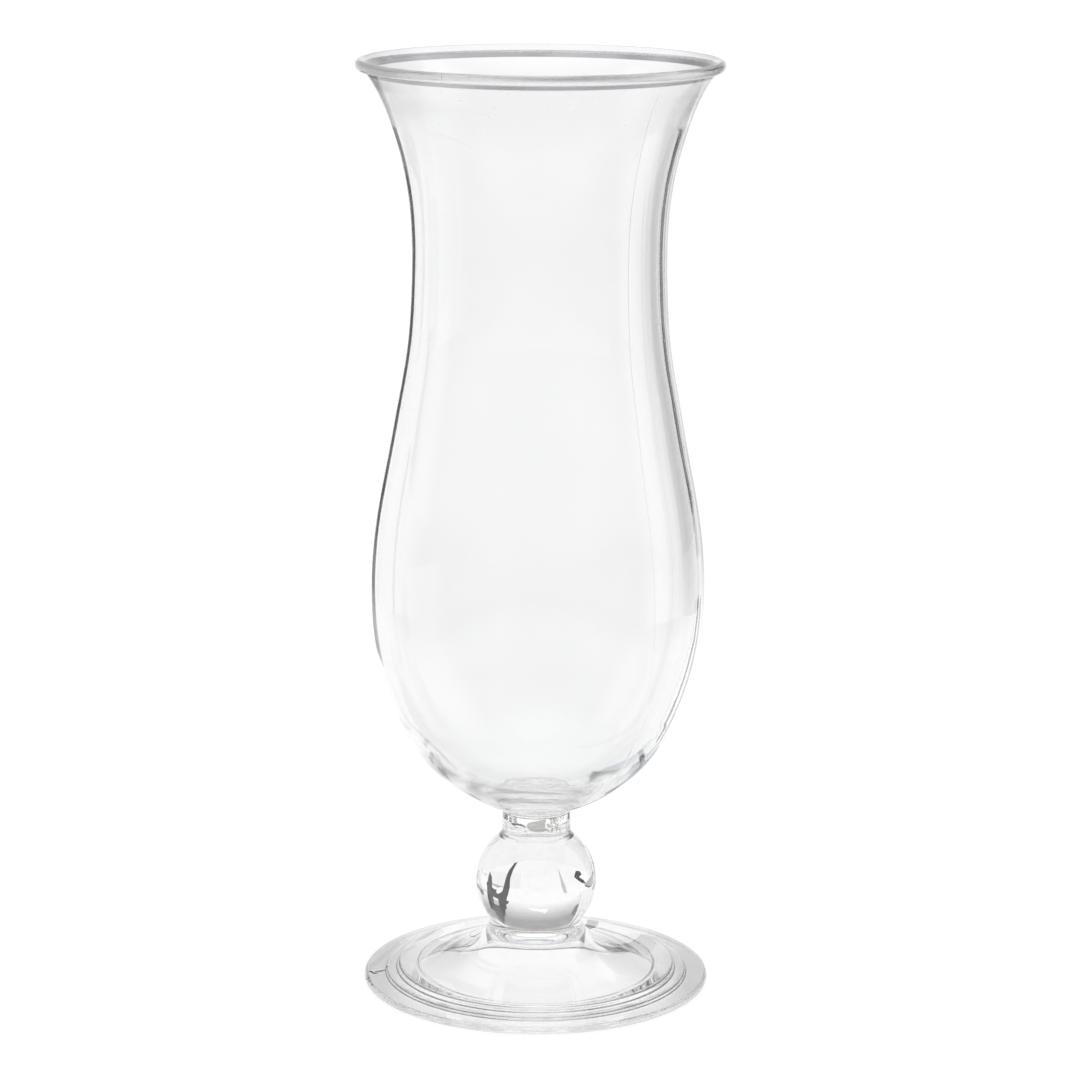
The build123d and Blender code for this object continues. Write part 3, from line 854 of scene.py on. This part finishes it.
# pale bluish sheet on the table behind right
sheet("sheet_blue", [(12, 75, 0.2), (20, 86, 0.2), (23, 92, 0.2), (30, 98, 0.2), (40, 103, 0.2), (47, 104, 0.2), (60, 114, 0.2), (66, 100, 0.2), (60, 88, 0.2), (58, 63, 0.2), (51, 50, 0.2), (40, 62, 0.2), (33, 72, 0.2), (26, 69, 0.2), (18, 69, 0.2), (14, 71, 0.2)], BLUISH)
# white card over the back of the foot
for k in range(10):
    standing("card_back_%d" % k, [(-75 + 15 * k, 8.2), (-60 + 15 * k, 8.2), (-60 + 15 * k, 15.2), (-75 + 15 * k, 15.2)], 20.5, WHITE)
shade_right()
board("board_right_low", 36.5, 65, 0.36, 0.0, 0.06, GREY, transmit=False)
board("board_right", 36.5, 65, 0.36, 0.06, 0.5, BLACK, transmit=False)
soft_panel("panel_right", 66, 112, 0.36, 0.0, 0.6, 1.05, 0.02, 0.55)
soft_panel("panel_left", -104, -70, 0.36, 0.12, 0.6, 0.9, 0.40, 0.40)
soft_panel("panel_left_low", -104, -38.5, 0.37, 0.0, 0.30, 0.97, 0.50, 0.02)
# small bright window far behind
standing("window", [(-9.5, 1000), (-6.5, 800), (-2.5, 880), (1.0, 610), (6.5, 760), (4.0, 960), (2.2, 1310), (-1.0, 1180), (-3.0, 1450), (-5.0, 1380), (-6.4, 1900), (-8.0, 1500)], 11900.0, BRIGHT)

# ---------------------------------------------------------------- world: white low down, grey above, bright overhead
w = bpy.data.worlds.new("studio")
bpy.context.scene.world = w
w.use_nodes = True
t = w.node_tree
t.nodes.clear()
out = node(t, "ShaderNodeOutputWorld")
bg = node(t, "ShaderNodeBackground")
t.links.new(bg.outputs[0], out.inputs[0])
sep = node(t, "ShaderNodeSeparateXYZ")
t.links.new(node(t, "ShaderNodeTexCoord").outputs["Generated"], sep.inputs[0])
up = maprange(t, sep.outputs[2], -1.0, 1.0, 0.0, 1.0)
far = ramp(t, up, ((0.0, 0.50), (0.50, 0.50), (0.525, 0.45), (0.58, 0.33), (0.65, 0.20), (0.74, 0.17), (0.775, 0.26), (0.82, 0.44), (0.945, 0.60), (1.0, 0.60)))
near = ramp(t, up, ((0.0, 0.30), (0.50, 0.28), (0.60, 0.30), (0.66, 0.24), (0.72, 0.16), (0.86, 0.16), (0.945, 0.50), (1.0, 0.60)))
mx = node(t, "ShaderNodeMix", data_type="RGBA")
t.links.new(maprange(t, sep.outputs[1], -0.2, 0.4, 0.0, 1.0, True), mx.inputs["Factor"])
t.links.new(near, mx.inputs["A"])
t.links.new(far, mx.inputs["B"])
t.links.new(mx.outputs["Result"], bg.inputs[0])
bg.inputs[1].default_value = 2.0

# ---------------------------------------------------------------- camera
cd = bpy.data.cameras.new("camera")
cd.sensor_fit, cd.sensor_width = "HORIZONTAL", 36.0
cd.lens = 3544.90 / 1080.0 * 36.0
cd.clip_start, cd.clip_end = 0.01, 200.0
cam = bpy.data.objects.new("camera", cd)
bpy.context.scene.collection.objects.link(cam)
pitch, roll = math.radians(12.787), math.radians(0.325)
right, fwd = Vector((1, 0, 0)), Vector((0, math.cos(pitch), -math.sin(pitch)))
upv = right.cross(fwd)
r2 = right * math.cos(roll) + upv * math.sin(roll)
u2 = -right * math.sin(roll) + upv * math.cos(roll)
cam.matrix_world = Matrix(((r2.x, u2.x, -fwd.x, 0.00044), (r2.y, u2.y, -fwd.y, -0.76135), (r2.z, u2.z, -fwd.z, 0.27379), (0, 0, 0, 1)))
bpy.context.scene.camera = cam

# ---------------------------------------------------------------- picture and light paths
sc = bpy.context.scene
sc.view_settings.view_transform = "Standard"
sc.view_settings.look = "None"
sc.cycles.max_bounces = 256
sc.cycles.transmission_bounces = 256
sc.cycles.glossy_bounces = 256
sc.cycles.diffuse_bounces = 4
sc.cycles.transparent_max_bounces = 64
sc.cycles.use_denoising = True
